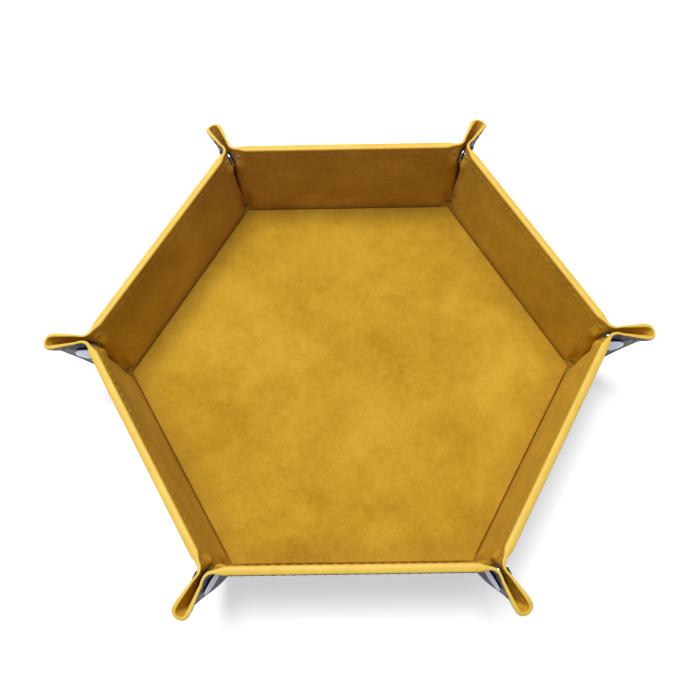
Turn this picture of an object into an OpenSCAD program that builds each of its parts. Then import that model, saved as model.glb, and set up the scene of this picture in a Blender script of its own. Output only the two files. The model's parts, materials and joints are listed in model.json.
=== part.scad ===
// Folding hexagonal dice tray.
// A leather-covered sheet with a stiff board in its floor and in each of its six walls. The walls
// fold up about the edges of the floor, the soft leather between two walls folds outward into an
// upright loop, called an ear here, and one press snap pinches each ear shut.
// The sheet is drawn flat, outside face down, and each panel is then turned to its standing place.

/* [Tray] */
// Length of one side of the floor, measured inside
floor_edge = 96; // [80:1:120]
// Inside height of a wall along its slope, from the floor to the rim
wall_slope = 38.3; // [30:0.1:46]
// Outward lean of a standing wall from the vertical, in degrees
wall_lean = 7.5; // [5:0.5:10]

/* [Sheet] */
// Thickness of the outer leather, and of the inner leather
leather_t = 0.8; // [0.6:0.1:1]
// Thickness of the stiff boards
board_t = 1.8; // [1.4:0.1:2.2]

/* [Ears] */
// Distance from the end of a wall board to the fold line of the ear
soft_end = 4.9; // [4.6:0.1:6]
// Angle by which a side of an ear turns out of its wall, in degrees
ear_turn = 59.5; // [59:0.5:62]
// Radius of the rounded corners of the flat sheet
sheet_corner_r = 15; // [12:1:20]

/* [Snaps] */
// Diameter of the domed caps on the outside
cap_d = 10.8; // [9:0.1:11]
// Height of the domed caps
cap_h = 1.1; // [0.8:0.1:1.4]
// Diameter of the socket
socket_d = 8.2; // [7.6:0.1:9]
// Distance of the snap beyond the fold line of the ear
snap_out = 2.7; // [2.6:0.1:6]
// Distance of the snap below the rim, along the wall
snap_down = 9; // [7:0.1:10]

/* [Hidden] */
sides = 6;

// the fold of each wall runs in the middle of the two layers of leather
fold_z = leather_t;
sheet_t = 2 * leather_t + board_t;
soft_t = 2 * leather_t;
fold_angle = 90 - wall_lean;
inner_face = sheet_t - fold_z;
floor_apothem = floor_edge * cos(180 / sides);
fold_apothem = floor_apothem + inner_face * (1 - cos(fold_angle)) / sin(fold_angle);
fold_half = fold_apothem * tan(180 / sides);
// height of a panel from its fold to its rim, in the sheet
rim_s = wall_slope + inner_face * (1 - cos(fold_angle)) / sin(fold_angle);

// clearances between panels that turn against each other
floor_gap = 0.35;
panel_gap = 1.0;
tip_gap = 0.9;
loop_gap = 0.15;
floor_panel_apothem = fold_apothem - inner_face - floor_gap;

// An ear is folded along two lines that start where the folds of two neighbouring walls meet.
// The first is the end of the wall. The second lies tip_fold degrees on, near the middle of the
// ear, and is placed so that the tip stands square across the middle plane between two walls.
mid_angle = 180 / sides;
side_lean = sin(mid_angle) * cos(fold_angle);
side_flare = sin(mid_angle) * sin(fold_angle) * sin(ear_turn) - cos(mid_angle) * cos(ear_turn);
tip_fold = atan((sin(mid_angle) - side_lean) / (cos(mid_angle) + side_flare));
tip_turn = acos(sin(tip_fold) * side_lean - cos(tip_fold) * side_flare);
ear_start = 17;
// The snap pinches the leather in past the fold line, so the side of an ear reaches back over it
// by ear_back, and the wall stops short of it by wall_short.
ear_back = 3.1;
wall_short = 3.5;
tip_start = 25;
corner_dist = (rim_s - sheet_corner_r) / cos(mid_angle);
arc_steps = 6;

// boards
board_half = fold_half - soft_end;
ramp = 1;

// snaps
snap_s = rim_s - snap_down;
post_d = 3;
post_clear = 0.1;
socket_h = 1.7;
socket_floor = 0.35;
socket_bore = 5;
stud_flange_d = 7.2;
stud_flange_t = 0.3;
stud_d = 4;
stud_neck_d = 3.5;
stud_h = 1.8;
round_fn = 48;

// Corner 1 points along +X and the numbers run anticlockwise, seen from above. Wall k stands
// between corner k and corner k + 1. The left half of ear k belongs to wall k, and its right half
// belongs to the wall before.

// Places: each one puts a panel that is drawn flat into its standing place.

module wall_place(k) {
    rotate([0, 0, (k - 0.5) * 360 / sides])
        translate([fold_apothem, 0, fold_z])
            rotate([0, -fold_angle, 0])
                children();
}

module ear_place(k, left) {
    wall_place(left ? k : k - 1)
        mirror([0, left ? 1 : 0, 0])
            translate([0, fold_half, 0])
                rotate([-ear_turn, 0, 0])
                    children();
}

module tip_place(k, left) {
    ear_place(k, left)
        rotate([0, 0, tip_fold])
            rotate([tip_turn, 0, 0])
                rotate([0, 0, -tip_fold])
                    children();
}

module snap_place(k, left) {
    ear_place(k, left)
        translate([snap_s, snap_out, -fold_z])
            children();
}

// Outlines of half an ear, in the flat sheet. The origin is where the folds meet, X runs along
// the end of the wall to the rim, and Y runs along the rim to the middle of the ear.

// a point of the rounded corner of the sheet, at angle a from the X direction
function corner_point(a) =
    corner_dist * [cos(mid_angle), sin(mid_angle)] + sheet_corner_r * [cos(a), sin(a)];

// the angle at which the rounded corner is a distance gap beyond the line at angle line_a
function corner_angle(line_a, gap) =
    line_a + asin((gap - corner_dist * sin(mid_angle - line_a)) / sheet_corner_r);

// the point at distance x along X on the line at angle line_a, moved a distance gap sideways
function line_point(line_a, gap, x) = [x, x * tan(line_a) + gap / cos(line_a)];

function corner_arc(a0, a1) =
    [for (i = [0 : arc_steps]) corner_point(a0 + (a1 - a0) * i / arc_steps)];

function ear_outline() = concat(
    [[ear_start, -ear_back], [rim_s, -ear_back]],
    corner_arc(0, corner_angle(tip_fold, -tip_gap)),
    [line_point(tip_fold, -tip_gap, ear_start)]
);

function tip_outline() = concat(
    [line_point(tip_fold, tip_gap, tip_start)],
    corner_arc(corner_angle(tip_fold, tip_gap), corner_angle(mid_angle, -loop_gap)),
    [line_point(mid_angle, -loop_gap, tip_start)]
);

module soft_panel(outline) {
    translate([0, 0, -fold_z])
        linear_extrude(height = soft_t)
            polygon(outline);
}

module hexagon(apothem) {
    circle(r = apothem / cos(180 / sides), $fn = sides);
}

// Base

module base_cover() {
    color("#2c2731")
        linear_extrude(height = leather_t)
            hexagon(fold_apothem - floor_gap);
}

module base_board() {
    color("#a58a5e")
        translate([0, 0, leather_t])
            linear_extrude(height = board_t)
                hexagon(floor_panel_apothem);
}

module base_lining() {
    color("#c8952f")
        translate([0, 0, leather_t + board_t])
            linear_extrude(height = leather_t)
                hexagon(floor_panel_apothem);
}

// Walls

module wall_cover(k) {
    cover_half = fold_half - wall_short;
    color("#2c2731")
        wall_place(k)
            translate([panel_gap, -cover_half, -fold_z])
                cube([rim_s - panel_gap, 2 * cover_half, leather_t]);
}

module wall_board(k) {
    color("#a58a5e")
        wall_place(k)
            translate([panel_gap, -board_half, 0])
                cube([rim_s - panel_gap, 2 * board_half, board_t]);
}

// the lining steps down from the board to the cover at each end of the wall
module wall_lining(k) {
    wing = fold_half - wall_short;
    foot = board_half + ramp;
    shoulder = board_half + leather_t / 4;
    color("#c8952f")
        wall_place(k)
            translate([panel_gap, 0, 0])
                rotate([90, 0, 90])
                    linear_extrude(height = rim_s - panel_gap)
                        polygon([
                            [-wing, 0], [-foot, 0], [-board_half, board_t],
                            [board_half, board_t], [foot, 0], [wing, 0],
                            [wing, leather_t], [foot + leather_t / 4, leather_t],
                            [shoulder, board_t + leather_t], [-shoulder, board_t + leather_t],
                            [-foot - leather_t / 4, leather_t], [-wing, leather_t]
                        ]);
}

// Ears

module ear_side(k, left) {
    color("#b3842a")
        ear_place(k, left)
            difference() {
                soft_panel(ear_outline());
                translate([snap_s, snap_out, -fold_z - 1])
                    cylinder(d = post_d + 2 * post_clear, h = soft_t + 2, $fn = round_fn);
            }
}

module ear_tip(k, left) {
    color("#b3842a")
        tip_place(k, left)
            soft_panel(tip_outline());
}

// Snaps, drawn with the outside of the leather at height 0 and the inside at soft_t

// the domed cap with its post, which goes through both layers of leather
module snap_cap(post_top) {
    edge_h = 0.35;
    dome_steps = 6;
    cap_r = cap_d / 2;
    rotate_extrude($fn = round_fn)
        polygon(concat(
            [[0, post_top], [post_d / 2, post_top], [post_d / 2, 0], [cap_r, 0], [cap_r, -edge_h]],
            [for (i = [1 : dome_steps])
                [
                    cap_r * cos(90 * i / dome_steps),
                    -edge_h - (cap_h - edge_h) * sin(90 * i / dome_steps)
                ]]
        ));
}

module socket_ring() {
    socket_r = socket_d / 2;
    lip = 0.4;
    translate([0, 0, soft_t])
        rotate_extrude($fn = round_fn)
            polygon([
                [post_d / 2 + post_clear, 0], [socket_r, 0], [socket_r, socket_h - lip],
                [socket_r - lip, socket_h], [socket_bore / 2, socket_h],
                [socket_bore / 2, socket_floor], [post_d / 2 + post_clear, socket_floor]
            ]);
}

module stud_knob() {
    bore_h = 0.9;
    lip = 0.35;
    translate([0, 0, soft_t])
        rotate_extrude($fn = round_fn)
            polygon([
                [post_d / 2 + post_clear / 2, 0], [stud_flange_d / 2, 0],
                [stud_flange_d / 2, stud_flange_t], [stud_neck_d / 2, stud_flange_t],
                [stud_neck_d / 2, stud_flange_t + lip], [stud_d / 2, stud_flange_t + 2 * lip],
                [stud_d / 2, stud_h - lip], [stud_d / 2 - lip, stud_h],
                [0, stud_h], [0, bore_h], [post_d / 2 + post_clear / 2, bore_h]
            ]);
}

module snap_socket(k) {
    color("silver")
        snap_place(k, true) {
            snap_cap(soft_t + socket_floor);
            socket_ring();
        }
}

module snap_stud(k) {
    post_in_stud = 0.8;
    color("silver")
        snap_place(k, false) {
            snap_cap(soft_t + post_in_stud);
            stud_knob();
        }
}

base_cover();
base_board();
base_lining();
wall_cover(1);  // wall_1_cover
wall_cover(2);  // wall_2_cover
wall_cover(3);  // wall_3_cover
wall_cover(4);  // wall_4_cover
wall_cover(5);  // wall_5_cover
wall_cover(6);  // wall_6_cover
wall_board(1);  // wall_1_board
wall_board(2);  // wall_2_board
wall_board(3);  // wall_3_board
wall_board(4);  // wall_4_board
wall_board(5);  // wall_5_board
wall_board(6);  // wall_6_board
wall_lining(1);  // wall_1_lining
wall_lining(2);  // wall_2_lining
wall_lining(3);  // wall_3_lining
wall_lining(4);  // wall_4_lining
wall_lining(5);  // wall_5_lining
wall_lining(6);  // wall_6_lining
ear_side(1, true);  // ear_1_left
ear_side(2, true);  // ear_2_left
ear_side(3, true);  // ear_3_left
ear_side(4, true);  // ear_4_left
ear_side(5, true);  // ear_5_left
ear_side(6, true);  // ear_6_left
ear_side(1, false);  // ear_1_right
ear_side(2, false);  // ear_2_right
ear_side(3, false);  // ear_3_right
ear_side(4, false);  // ear_4_right
ear_side(5, false);  // ear_5_right
ear_side(6, false);  // ear_6_right
ear_tip(1, true);  // tip_1_left
ear_tip(2, true);  // tip_2_left
ear_tip(3, true);  // tip_3_left
ear_tip(4, true);  // tip_4_left
ear_tip(5, true);  // tip_5_left
ear_tip(6, true);  // tip_6_left
ear_tip(1, false);  // tip_1_right
ear_tip(2, false);  // tip_2_right
ear_tip(3, false);  // tip_3_right
ear_tip(4, false);  // tip_4_right
ear_tip(5, false);  // tip_5_right
ear_tip(6, false);  // tip_6_right
snap_socket(1);  // snap_1_socket
snap_socket(2);  // snap_2_socket
snap_socket(3);  // snap_3_socket
snap_socket(4);  // snap_4_socket
snap_socket(5);  // snap_5_socket
snap_socket(6);  // snap_6_socket
snap_stud(1);  // snap_1_stud
snap_stud(2);  // snap_2_stud
snap_stud(3);  // snap_3_stud
snap_stud(4);  // snap_4_stud
snap_stud(5);  // snap_5_stud
snap_stud(6);  // snap_6_stud
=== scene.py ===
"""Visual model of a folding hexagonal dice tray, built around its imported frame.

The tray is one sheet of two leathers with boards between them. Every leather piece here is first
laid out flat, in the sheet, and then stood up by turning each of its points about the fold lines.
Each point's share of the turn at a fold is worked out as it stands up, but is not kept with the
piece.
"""
import json
import math

import bpy
import numpy as np
from bpy.props import FloatProperty, FloatVectorProperty, IntProperty, PointerProperty
from mathutils import Matrix, Vector


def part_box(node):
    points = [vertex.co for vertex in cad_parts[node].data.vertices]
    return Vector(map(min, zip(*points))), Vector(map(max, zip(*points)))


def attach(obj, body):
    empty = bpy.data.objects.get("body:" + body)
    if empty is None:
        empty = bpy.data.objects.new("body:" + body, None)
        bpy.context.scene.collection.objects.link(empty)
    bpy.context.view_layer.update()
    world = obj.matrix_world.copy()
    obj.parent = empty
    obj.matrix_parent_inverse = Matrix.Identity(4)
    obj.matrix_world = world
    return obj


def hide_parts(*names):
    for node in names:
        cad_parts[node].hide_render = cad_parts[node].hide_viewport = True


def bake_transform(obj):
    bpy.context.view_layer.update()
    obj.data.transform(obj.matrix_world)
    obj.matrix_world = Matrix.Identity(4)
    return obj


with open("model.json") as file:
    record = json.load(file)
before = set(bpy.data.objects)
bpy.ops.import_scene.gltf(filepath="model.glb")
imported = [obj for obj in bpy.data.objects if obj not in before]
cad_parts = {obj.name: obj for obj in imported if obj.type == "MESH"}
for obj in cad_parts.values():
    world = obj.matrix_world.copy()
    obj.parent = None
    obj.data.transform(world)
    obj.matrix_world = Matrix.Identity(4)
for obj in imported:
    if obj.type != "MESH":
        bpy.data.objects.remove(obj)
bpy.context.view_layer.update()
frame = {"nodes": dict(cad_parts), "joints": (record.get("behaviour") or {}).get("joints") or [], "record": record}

bl_info = {
    "name": "Folding Dice Tray",
    "version": (1, 0, 0),
    "blender": (4, 5, 0),
    "location": "3D View > Sidebar > Dice Tray",
    "description": "Builds the leather, stitching and snaps of a folding hexagonal dice tray",
    "category": "Object",
}

MM = 0.001
SIDES = 6
CORNERS = range(1, SIDES + 1)
MIRROR_ANGLE = math.pi / SIDES


# ---------------------------------------------------------------- sizes read from the frame

def joint(name):
    """The frame's joint of that name."""
    return next(j for j in frame["joints"] if j["name"] == name)


def turn_ratio(name):
    """How far a joint turns for each unit that the first wall turns."""
    couplings = frame["record"]["behaviour"]["couplings"]
    return next(c["ratio"] for c in couplings if c["joint"] == name)


FOLD_POINT = Vector(joint("wall_2_fold")["pos_m"])
FOLD_APOTHEM = FOLD_POINT.xy.length
FOLD_Z = FOLD_POINT.z
FOLD_HALF = FOLD_APOTHEM * math.tan(MIRROR_ANGLE)
FOLD_ANGLE = math.asin(abs(joint("ear_1_left_fold")["axis"][2]))
EAR_TURN = turn_ratio("ear_1_left_fold") * FOLD_ANGLE
TIP_TURN = turn_ratio("tip_1_left_fold") * FOLD_ANGLE
TIP_FOLD = Vector(joint("ear_1_left_fold")["axis"]).angle(-Vector(joint("tip_1_left_fold")["axis"]))

LEATHER_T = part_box("base_cover")[1].z
BOARD_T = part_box("base_board")[1].z - LEATHER_T
SOFT_T = 2 * LEATHER_T
SHEET_T = SOFT_T + BOARD_T


def wall_matrix(k):
    """Places wall k: X runs from its fold to its rim, Y along the fold, Z towards the inside."""
    spin = Matrix.Rotation((k - 0.5) * 2 * MIRROR_ANGLE, 4, "Z")
    stand = Matrix.Rotation(-FOLD_ANGLE, 4, "Y")
    return spin @ Matrix.Translation((FOLD_APOTHEM, 0, FOLD_Z)) @ stand


def ear_matrix(wall, mirrored):
    """Places the side of an ear, from the corner of the folds, on the end of a wall."""
    flip = Matrix.Diagonal((1, -1 if mirrored else 1, 1, 1))
    side = Matrix.Translation((0, FOLD_HALF, 0)) @ Matrix.Rotation(-EAR_TURN, 4, "X")
    return wall_matrix(wall) @ flip @ side


def extent(node, matrix):
    """Lowest and highest corner of a CAD node, measured in the axes of a matrix."""
    back = matrix.inverted()
    points = np.array([back @ v.co for v in frame["nodes"][node].data.vertices])
    return points.min(0), points.max(0)


BOARD_LOW, BOARD_HIGH = extent("wall_2_board", wall_matrix(2))
SNAP_CENTRE = sum(extent("snap_1_stud", ear_matrix(SIDES, False))) / 2
RIM_S = float(BOARD_HIGH[0])
BOARD_S = float(BOARD_LOW[0])
BOARD_HALF = float(BOARD_HIGH[1])
FLOOR_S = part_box("base_board")[1].y - FOLD_APOTHEM

# Along a standing wall the middle plane between two walls leans out by this slope
MITRE = math.cos(FOLD_ANGLE) * math.tan(MIRROR_ANGLE)

# Half an ear, in the sheet: s runs up along the end of the wall, t along the rim to the middle.
CORNER_R = 15 * MM
CORNER_D = (RIM_S - CORNER_R) / math.cos(MIRROR_ANGLE)
EAR_INNER = BOARD_HALF - FOLD_HALF
SPLIT_ANGLE = math.radians(17)

# Strips of leather that cross the fold of a wall
FLOOR_EDGE_S = -6 * MM
COVER_EDGE_S = -4 * MM
WALL_FOOT_S = 5 * MM
EDGE_INSET = 0.6 * MM

# How far the lining takes to come down off a board: in the groove of a fold, and at a board's end
GROOVE_RAMP = 0.9 * MM
END_RAMP = 3.6 * MM

# How far the two sides of an ear draw together, as a share of their distance: at the rim over the
# snap, at the end of the loop, and at the level of the snap; and how far the snap goes with them
PINCH = 0.32
LOOP_PINCH = -0.08
SNAP_PINCH = 0.2
SNAP_CLOSER = 0.43 * MM

# How close the foot of an ear comes to the corner of the folds, and the share by which soft
# leather shortens an ear beyond its snap
FOOT_REACH = 0.7 * MM
SNAP_ALONG = 3.9 * MM
SHORTER = 0.09

# The small facet of lining across each corner of the floor: how far it reaches in and up
FACET_IN = 2.2 * MM
FACET_UP = 2.8 * MM

# ---------------------------------------------------------------- settings

def colour_setting(name, description, default):
    """A colour that a user may change."""
    return FloatVectorProperty(name=name, description=description, subtype="COLOR", size=3, min=0,
                               max=1, default=default)


def length_setting(name, description, default, low, high):
    """A length that a user may change."""
    return FloatProperty(name=name, description=description, subtype="DISTANCE", unit="LENGTH",
                         default=default, min=low, max=high)


class TrayLeather(bpy.types.PropertyGroup):
    """Colours and surface of the lining, the cover and the painted edge."""
    lining: colour_setting("Lining", "Colour of the suede-like lining", (0.68, 0.405, 0.030))
    lining_dark: colour_setting("Lining shade", "Darker colour of the lining's mottling",
                                (0.45, 0.245, 0.012))
    cover: colour_setting("Cover", "Colour of the outer leather", (0.026, 0.022, 0.040))
    edge: colour_setting("Edge", "Colour of the painted edge", (0.93, 0.64, 0.095))
    grain: length_setting("Grain", "Size of one cell of the outer leather's grain",
                          0.9 * MM, 0.2 * MM, 4 * MM)


class TrayStitches(bpy.types.PropertyGroup):
    """The sewn row below the rim."""
    pitch: length_setting("Pitch", "Distance from one stitch to the next",
                          3.6 * MM, 1.5 * MM, 8 * MM)
    length: length_setting("Length", "Length of one stitch", 2.7 * MM, 1 * MM, 7 * MM)
    thread: length_setting("Thread", "Thickness of the thread", 0.42 * MM, 0.2 * MM, 1 * MM)
    inset: length_setting("Inset", "Distance of the row below the rim", 3.4 * MM, 2 * MM, 8 * MM)
    colour: colour_setting("Colour", "Colour of the thread", (0.50, 0.29, 0.04))
    outer_colour: colour_setting("Outer colour", "Colour of the thread on the outside",
                                 (0.06, 0.052, 0.08))


class TraySnaps(bpy.types.PropertyGroup):
    """The press snaps."""
    metal: colour_setting("Metal", "Colour of the plated metal", (0.34, 0.37, 0.48))
    segments: IntProperty(
        name="Segments", description="Segments round a snap", default=48, min=16, max=96)


class TrayStage(bpy.types.PropertyGroup):
    """The floor, the light and the camera."""
    light: FloatProperty(
        name="Light", description="Strength of the soft light from above", default=1.0, min=0,
        max=10)
    distance: length_setting("Distance", "Distance from the camera to the tray",
                             346.6 * MM, 0.2, 2)


# ---------------------------------------------------------------- mesh helpers

def smoothstep(low, high, x):
    """0 below low, 1 above high and a smooth rise between."""
    x = np.clip((np.asarray(x, float) - low) / (np.asarray(high) - low), 0, 1)
    return x * x * (3 - 2 * x)


def spread(*stops):
    """Values through the stops: stops alternate a place and the number of steps to the next."""
    values = [stops[0]]
    for i in range(1, len(stops), 2):
        values += list(np.linspace(values[-1], stops[i + 1], stops[i] + 1)[1:])
    return np.array(values, float)


def turned(points, axis, angles):
    """Points turned about an axis through the origin, each by its own angle."""
    n = np.array(axis, float) / np.linalg.norm(axis)
    c = np.cos(angles)[..., None]
    s = np.sin(angles)[..., None]
    return points * c + np.cross(n, points) * s + n * (points @ n)[..., None] * (1 - c)


def placed(points, matrix):
    """Points moved by a 4x4 matrix."""
    m = np.array(matrix)
    return points @ m[:3, :3].T + m[:3, 3]


def mesh_object(name, points, faces, material, sheet_xy=None, crease=50):
    """A smooth mesh object at the origin, with its place in the sheet as a UV map."""
    mesh = bpy.data.meshes.new(name)
    mesh.from_pydata([tuple(p) for p in points], [], faces)
    mesh.materials.append(bpy.data.materials[material])
    mesh.polygons.foreach_set("use_smooth", [True] * len(faces))
    if sheet_xy is not None:
        layer = mesh.uv_layers.new(name="sheet")
        loops = np.empty(len(mesh.loops), np.int32)
        mesh.loops.foreach_get("vertex_index", loops)
        layer.data.foreach_set("uv", np.asarray(sheet_xy)[loops].astype(np.float32).ravel())
    mesh.set_sharp_from_angle(angle=math.radians(crease))
    mesh.validate()
    piece = bpy.data.objects.new(name, mesh)
    bpy.context.scene.collection.objects.link(piece)
    return piece


def is_inside_out(points, faces):
    """True if the closed mesh's faces point inwards."""
    fans = [(f[0], f[i], f[i + 1]) for f in faces for i in range(1, len(f) - 1)]
    a, b, c = (np.asarray(points)[list(corner)] for corner in zip(*fans))
    return float(np.sum(a * np.cross(b, c))) < 0


def slab(places, low, high):
    """A closed sheet of leather over (columns, rows, 2) places, between two heights: its points
    in the flat sheet, and its faces."""
    columns, rows = places.shape[:2]
    layers = [np.dstack([places, np.broadcast_to(z, places.shape[:2])]).reshape(-1, 3)
              for z in (low, high)]

    def at(layer, i, j):
        return (layer * columns + i) * rows + j

    faces = []
    for i in range(columns - 1):
        for j in range(rows - 1):
            faces.append((at(0, i, j), at(0, i, j + 1), at(0, i + 1, j + 1), at(0, i + 1, j)))
            faces.append((at(1, i, j), at(1, i + 1, j), at(1, i + 1, j + 1), at(1, i, j + 1)))
        for j, step in ((0, 1), (rows - 1, -1)):
            faces.append((at(0, i, j), at(0, i + 1, j), at(1, i + 1, j), at(1, i, j))[::step])
    for j in range(rows - 1):
        for i, step in ((0, -1), (columns - 1, 1)):
            faces.append((at(0, i, j), at(0, i, j + 1), at(1, i, j + 1), at(1, i, j))[::step])
    return np.concatenate(layers), faces


# How dark the painted shade on the lining is: in a fold, at a fold's end, beside a fold and in an
# ear; and how far the painted shade beside a fold reaches over the floor and up the wall
PAINTED_FOLD_SHADE, PAINTED_CORNER_SHADE, PAINTED_SHADE_BESIDE_FOLD, PAINTED_EAR_SHADE = 0.66, 0.32, 0.24, 0.30
SHADE_REACH_ON_FLOOR = 10 * MM
SHADE_REACH_UP_WALL = 5 * MM

# Painted shade browns the walls' lining towards the back and left, and painted sheen yellows it
# towards the front: its change over a metre to the back, the part of it to the left, and its value
# in the middle of the tray
TINT_SLOPE, TINT_LEAN, TINT_MIDDLE = 12, 0.35, -0.35


def painted_shade_mask(flat):
    """How far shade is painted on the lining: along the bottom of a fold, beside it, and in the pocket of an ear.
    """
    x, t = flat[:, 0], flat[:, 1] - FOLD_HALF
    fold = smoothstep(FLOOR_S - 0.6 * MM, FLOOR_S + 0.8 * MM, x) * (
        1 - smoothstep(BOARD_S - 0.2 * MM, BOARD_S + 1.4 * MM, x))
    beside = PAINTED_SHADE_BESIDE_FOLD * (1 - smoothstep(BOARD_S, BOARD_S + SHADE_REACH_UP_WALL, x))
    pocket = smoothstep(-2.2 * MM, 0.6 * MM, t) * (1 - smoothstep(0.45, 0.9, x / RIM_S))
    in_fold = PAINTED_FOLD_SHADE + (PAINTED_CORNER_SHADE - PAINTED_FOLD_SHADE) * smoothstep(-1 * MM, 2.5 * MM, t)
    return np.maximum.reduce([in_fold * fold, beside, PAINTED_EAR_SHADE * pocket * (x > BOARD_S)])


def painted_tint_mask(flat, places):
    """How far the walls' lining takes the painted shade tint (1) or the painted sheen tint (-1)."""
    towards_back = (places[:, 1] - TINT_LEAN * places[:, 0]) * TINT_SLOPE + TINT_MIDDLE
    return np.clip(towards_back, -1, 1) * smoothstep(FLOOR_S, BOARD_S + 1 * MM, flat[:, 0])


def vertex_places(piece):
    """The points of a piece as rows of x, y and z."""
    places = np.empty(3 * len(piece.data.vertices))
    piece.data.vertices.foreach_get("co", places)
    return places.reshape(-1, 3)


def mark_points(piece, name, values):
    """Keeps a number for each point, for a material to read."""
    piece.data.attributes.new(name, "FLOAT", "POINT").data.foreach_set(
        "value", values.astype(np.float32))


def bend_between(piece, parent, child, weight):
    """Bakes the piece's place into its points; it is not tied to either body."""
    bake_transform(piece)
    return piece


# ---------------------------------------------------------------- how the sheet stands up
# A flat point is (x, y, z): x from the fold of its wall, y along the fold, z above the outside
# face. Each function gives where the point stands, measured from the fold, and its share of turn.

def from_fold(flat):
    """The same points with their height measured from the fold line."""
    return flat - (0, 0, FOLD_Z)


def stand_wall(flat):
    """Points that turn with the wall."""
    up = turned(from_fold(flat), (0, 1, 0), np.full(len(flat), -FOLD_ANGLE))
    return up, np.ones(len(flat))


def stand_fold(start, end):
    """Points that turn from the floor to the wall between two distances from the fold."""
    def stand(flat):
        weight = smoothstep(start, end, flat[:, 0])
        return turned(from_fold(flat), (0, 1, 0), -weight * FOLD_ANGLE), weight
    return stand


def stand_lining_fold(flat):
    """The lining's own turn at a fold, lifted onto a small facet in the corner of the floor."""
    stood, weight = stand_fold(-0.5 * MM, 0.7 * MM)(flat)
    inward = ((FOLD_HALF - np.abs(stood[:, 1])) * math.sin(MIRROR_ANGLE)
              - stood[:, 0] * math.cos(MIRROR_ANGLE) - SOFT_T)
    floor_level = SHEET_T - FOLD_Z
    lift = FACET_UP * (1 - inward / FACET_IN) - (stood[:, 2] - floor_level)
    inside = flat[:, 2] > SOFT_T * 0.7
    lift = np.where(inside & (stood[:, 2] < floor_level + FACET_UP), np.clip(lift, 0, FACET_UP), 0)
    stood = stood + np.outer(lift, (0, 0, 1))
    return stood, weight


# Where the soft leather starts and ends to turn from a wall into an ear, along the rim: it starts
# later at the foot, and ends later towards the rim and sooner beside the flat leather of the snap
TURN_START, START_AT_FOOT = 0.2 * MM, 4.1 * MM
TURN_END, END_AT_RIM, END_AT_SNAP = 2.5 * MM, 4.6 * MM, -4.3 * MM
SHORTEST_TURN = 1.5 * MM
SNAP_FLAT = 5 * MM


def ear_share(s, t):
    """Share of the ear's turn at a point of half an ear."""
    at_snap = np.exp(-((s - SNAP_CENTRE[0]) / SNAP_FLAT) ** 2)
    at_foot = 1 - smoothstep(WALL_FOOT_S, 3 * WALL_FOOT_S, s)
    at_rim = smoothstep(0.88, 1, s / RIM_S)
    start = EAR_INNER + TURN_START + START_AT_FOOT * at_foot
    end = TURN_END * s / RIM_S + END_AT_RIM * at_rim + END_AT_SNAP * at_snap
    return smoothstep(0, 1, (t - start) / (np.maximum(end, start + SHORTEST_TURN) - start))


def in_ear(flat):
    """Points measured from the corner of the folds."""
    return flat - (0, FOLD_HALF, FOLD_Z)


def out_of_ear(points):
    """Points measured from the corner of the folds, back to the middle of the fold, standing."""
    moved = points + (0, FOLD_HALF, 0)
    return turned(moved, (0, 1, 0), np.full(len(moved), -FOLD_ANGLE))


def to_mirror():
    """The level direction from an ear's side to the plane between its two sides."""
    return np.array((-math.sin(MIRROR_ANGLE), math.cos(MIRROR_ANGLE), 0))


# How far the sides of an ear are drawn together, over the share of the way from its wall to its
# middle: at the rim, and lower down
PINCH_AT_RIM = ((-0.2, -0.02, 0.14, 0.34, 0.7, 1.0),
                (0, 0.5 * PINCH, PINCH, 0.9 * PINCH, LOOP_PINCH, LOOP_PINCH))
PINCH_BELOW = ((-0.12, 0.0, 0.46, 0.72, 1.0), (0, SNAP_PINCH, SNAP_PINCH, 0.5, 0.6))


def drawn_together(points, s, t):
    """Draws the two sides of an ear towards the plane between them: at the rim, where they pinch
    over the snap and open into a loop, and lower down, where they close along the loop's edge."""
    gap = (points - (0, FOLD_HALF, 0)) @ to_mirror()
    along = np.arctan2(t, s) / MIRROR_ANGLE
    rim = np.interp(along, *PINCH_AT_RIM)
    low = np.interp(along, *PINCH_BELOW) * smoothstep(0.2, 0.6, s / RIM_S)
    level = smoothstep(0.8, 0.99, s / (RIM_S * (1 - 0.05 * smoothstep(0.7, 1, along))))
    radial = np.array((math.cos(MIRROR_ANGLE), math.sin(MIRROR_ANGLE), 0))
    beyond = np.maximum((points - (0, FOLD_HALF, 0)) @ radial - SNAP_ALONG, 0)
    closer = to_mirror() * (gap * (low + (rim - low) * level))[:, None]
    return points - closer - radial * (SHORTER * beyond)[:, None]


def stand_ear_side(flat):
    """Points that turn from the wall into the side of the ear."""
    p = in_ear(flat)
    weight = ear_share(p[:, 0], p[:, 1])
    stood = out_of_ear(turned(p, (1, 0, 0), -weight * EAR_TURN))
    return drawn_together(stood, p[:, 0], p[:, 1]), weight


def stand_ear_tip(flat):
    """Points that turn from the side of the ear into its tip, round the end of the loop."""
    p = in_ear(flat)
    fold = np.array((math.cos(TIP_FOLD), math.sin(TIP_FOLD), 0))
    across = np.array((-math.sin(TIP_FOLD), math.cos(TIP_FOLD), 0))
    width = (p @ fold) * math.tan(MIRROR_ANGLE - TIP_FOLD)
    share = (p @ across / width + 1) / 2
    weight = np.clip(share, 0, 1)
    turn = weight * TIP_TURN
    reach = (1 + math.cos(TIP_TURN)) / math.sin(TIP_TURN)
    rise = math.sin(TIP_TURN) / (1 - math.cos(TIP_TURN))
    u = width * (np.minimum(share, 0) * 2 - 1 + reach * np.sin(turn))
    v = width * rise * (1 - np.cos(turn))
    folded = (np.outer(p @ fold, fold) + across * (u - p[:, 2] * np.sin(turn))[:, None]
              + np.outer(v + p[:, 2] * np.cos(turn), (0, 0, 1)))
    stood = out_of_ear(turned(folded, (1, 0, 0), np.full(len(p), -EAR_TURN)))
    return drawn_together(stood, p[:, 0], p[:, 1]), weight


# ---------------------------------------------------------------- the flat sheet

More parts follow.
